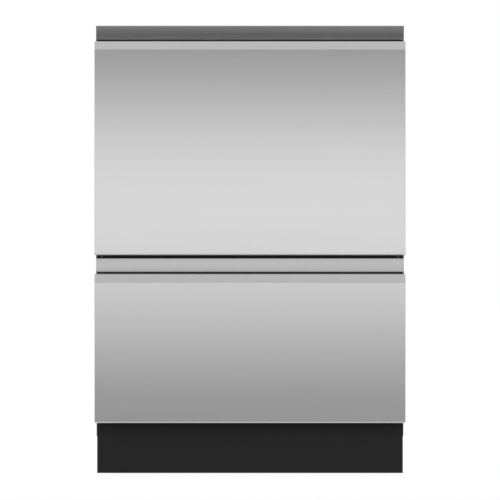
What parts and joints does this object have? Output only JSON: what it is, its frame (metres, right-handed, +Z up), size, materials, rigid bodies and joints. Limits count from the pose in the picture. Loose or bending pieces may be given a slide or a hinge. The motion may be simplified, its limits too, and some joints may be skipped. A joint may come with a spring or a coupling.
{
  "type": "double drawer dishwasher",
  "caption": "Built-in stainless dishwasher with two pull-out wash drawers, finger-pocket handles and a black toe kick",
  "frame": {"origin": "on the floor, at the middle of the object's width and depth", "axes": "+X to the right seen from the front, +Y to the back, +Z up; the drawers open towards -Y"},
  "size_m": [0.599, 0.573, 0.865],
  "materials": {
    "front_steel": "fine horizontal brushing, satin",
    "strip_steel": "fine horizontal brushing, satin",
    "grey_plastic": "fine moulded grain",
    "gloss_black": "gloss with a dark display window",
    "button_metal": "turned satin",
    "tub_plastic": "smooth moulded, slight sheen",
    "runner_steel": "bright zinc plated",
    "dark_plastic": "fine moulded grain",
    "white_plastic": "smooth moulded",
    "filter_steel": "fine satin, perforated",
    "coated_wire": "thick smooth nylon coat",
    "rubber": "soft matt",
    "zinc_sheet": "galvanised, faint spangle",
    "chassis_paint": "satin powder coat",
    "black_paint": "satin black powder coat"
  },
  "bodies": {
    "chassis": {"side_panels": "chassis_paint", "rear_panel": "zinc_sheet", "top_panel": "zinc_sheet", "cross_rail": "black_paint", "base_tray": "zinc_sheet", "kick_plate": "black_paint", "brackets": "zinc_sheet", "side_trims": "rubber", "cabinet_runners": "runner_steel", "lid_actuators": "white_plastic", "inlet_valve": "white_plastic", "drain_outlet": "white_plastic", "mains_bush": "rubber", "control_module": "white_plastic", "chassis_screws": "runner_steel"},
    "foot_front_left": {"foot_front_left": "dark_plastic"},
    "foot_front_right": {"foot_front_right": "dark_plastic"},
    "foot_rear_left": {"foot_rear_left": "dark_plastic"},
    "foot_rear_right": {"foot_rear_right": "dark_plastic"},
    "upper_drawer": {"upper_front_skin": "front_steel", "upper_handle_strip": "strip_steel", "upper_front_frame": "grey_plastic", "upper_control_strip": "gloss_black", "upper_tub": "tub_plastic", "upper_tub_runners": "runner_steel", "upper_pump_motor": "dark_plastic", "upper_filters": "filter_steel", "upper_basket": "coated_wire", "upper_dispenser": "white_plastic", "cutlery_basket": "grey_plastic"},
    "upper_middle_members": {"upper_middle_runners": "runner_steel"},
    "upper_power_key": {"upper_power_button": "button_metal"},
    "upper_start_key": {"upper_start_button": "button_metal"},
    "upper_rotor": {"upper_pump_rotor": "white_plastic"},
    "upper_arm": {"upper_spray_arm": "dark_plastic"},
    "upper_tine_row": {"upper_tines": "coated_wire"},
    "upper_rack": {"upper_cup_rack": "coated_wire"},
    "upper_detergent_door": {"upper_dispenser_door": "grey_plastic"},
    "upper_lid_assembly": {"upper_lid": "white_plastic", "upper_lid_seal": "rubber"},
    "lower_drawer": {"lower_front_skin": "front_steel", "lower_handle_strip": "strip_steel", "lower_front_frame": "grey_plastic", "lower_control_strip": "gloss_black", "lower_tub": "tub_plastic", "lower_tub_runners": "runner_steel", "lower_pump_motor": "dark_plastic", "lower_filters": "filter_steel", "lower_basket": "coated_wire", "lower_dispenser": "white_plastic"},
    "lower_middle_members": {"lower_middle_runners": "runner_steel"},
    "lower_power_key": {"lower_power_button": "button_metal"},
    "lower_start_key": {"lower_start_button": "button_metal"},
    "lower_rotor": {"lower_pump_rotor": "white_plastic"},
    "lower_arm": {"lower_spray_arm": "dark_plastic"},
    "lower_tine_row": {"lower_tines": "coated_wire"},
    "lower_rack": {"lower_cup_rack": "coated_wire"},
    "lower_detergent_door": {"lower_dispenser_door": "grey_plastic"},
    "lower_lid_assembly": {"lower_lid": "white_plastic", "lower_lid_seal": "rubber"}
  },
  "joints": [
    {"name": "foot_front_left_screw", "type": "slide", "parent": "chassis", "child": "foot_front_left", "axis": [0, 0, -1], "range_m": [0, 0.05]},
    {"name": "foot_front_right_screw", "type": "slide", "parent": "chassis", "child": "foot_front_right", "axis": [0, 0, -1], "range_m": [0, 0.05]},
    {"name": "foot_rear_left_screw", "type": "slide", "parent": "chassis", "child": "foot_rear_left", "axis": [0, 0, -1], "range_m": [0, 0.05]},
    {"name": "foot_rear_right_screw", "type": "slide", "parent": "chassis", "child": "foot_rear_right", "axis": [0, 0, -1], "range_m": [0, 0.05]},
    {"name": "upper_drawer_slide", "type": "slide", "parent": "chassis", "child": "upper_drawer", "axis": [0, -1, 0], "range_m": [0, 0.49]},
    {"name": "upper_middle_slide", "type": "slide", "parent": "chassis", "child": "upper_middle_members", "axis": [0, -1, 0], "range_m": [0, 0.245]},
    {"name": "upper_power_press", "type": "slide", "parent": "upper_drawer", "child": "upper_power_key", "axis": [0, 0, -1], "range_m": [0, 0.0015], "stiffness_N_per_m": 800, "springref_m": -0.0005},
    {"name": "upper_start_press", "type": "slide", "parent": "upper_drawer", "child": "upper_start_key", "axis": [0, 0, -1], "range_m": [0, 0.0015], "stiffness_N_per_m": 800, "springref_m": -0.0005},
    {"name": "upper_rotor_spin", "type": "hinge", "parent": "upper_drawer", "child": "upper_rotor", "pos_m": [0, -0.0015, 0.466], "axis": [0, 0, 1], "continuous": true},
    {"name": "upper_arm_spin", "type": "hinge", "parent": "upper_drawer", "child": "upper_arm", "pos_m": [0, -0.0015, 0.496], "axis": [0, 0, 1], "continuous": true},
    {"name": "upper_tines_fold", "type": "hinge", "parent": "upper_drawer", "child": "upper_tine_row", "pos_m": [0, -0.027, 0.5343], "axis": [-1, 0, 0], "range_deg": [0, 85]},
    {"name": "upper_rack_fold", "type": "hinge", "parent": "upper_drawer", "child": "upper_rack", "pos_m": [0.2432, 0.009, 0.72], "axis": [0, 1, 0], "range_deg": [0, 85]},
    {"name": "upper_detergent_slide", "type": "slide", "parent": "upper_drawer", "child": "upper_detergent_door", "axis": [1, 0, 0], "range_m": [0, 0.06]},
    {"name": "upper_lid_lift", "type": "slide", "parent": "chassis", "child": "upper_lid_assembly", "axis": [0, 0, 1], "range_m": [0, 0.012]},
    {"name": "lower_drawer_slide", "type": "slide", "parent": "chassis", "child": "lower_drawer", "axis": [0, -1, 0], "range_m": [0, 0.49]},
    {"name": "lower_middle_slide", "type": "slide", "parent": "chassis", "child": "lower_middle_members", "axis": [0, -1, 0], "range_m": [0, 0.245]},
    {"name": "lower_power_press", "type": "slide", "parent": "lower_drawer", "child": "lower_power_key", "axis": [0, 0, -1], "range_m": [0, 0.0015], "stiffness_N_per_m": 800, "springref_m": -0.0005},
    {"name": "lower_start_press", "type": "slide", "parent": "lower_drawer", "child": "lower_start_key", "axis": [0, 0, -1], "range_m": [0, 0.0015], "stiffness_N_per_m": 800, "springref_m": -0.0005},
    {"name": "lower_rotor_spin", "type": "hinge", "parent": "lower_drawer", "child": "lower_rotor", "pos_m": [0, -0.0015, 0.143], "axis": [0, 0, 1], "continuous": true},
    {"name": "lower_arm_spin", "type": "hinge", "parent": "lower_drawer", "child": "lower_arm", "pos_m": [0, -0.0015, 0.173], "axis": [0, 0, 1], "continuous": true},
    {"name": "lower_tines_fold", "type": "hinge", "parent": "lower_drawer", "child": "lower_tine_row", "pos_m": [0, -0.027, 0.2113], "axis": [-1, 0, 0], "range_deg": [0, 85]},
    {"name": "lower_rack_fold", "type": "hinge", "parent": "lower_drawer", "child": "lower_rack", "pos_m": [0.2432, 0.009, 0.272], "axis": [0, 1, 0], "range_deg": [0, 85]},
    {"name": "lower_detergent_slide", "type": "slide", "parent": "lower_drawer", "child": "lower_detergent_door", "axis": [1, 0, 0], "range_m": [0, 0.06]},
    {"name": "lower_lid_lift", "type": "slide", "parent": "chassis", "child": "lower_lid_assembly", "axis": [0, 0, 1], "range_m": [0, 0.012]}
  ],
  "couplings": [
    {"joint": "upper_middle_slide", "follows": "upper_drawer_slide", "ratio": 0.5},
    {"joint": "lower_middle_slide", "follows": "lower_drawer_slide", "ratio": 0.5}
  ]
}
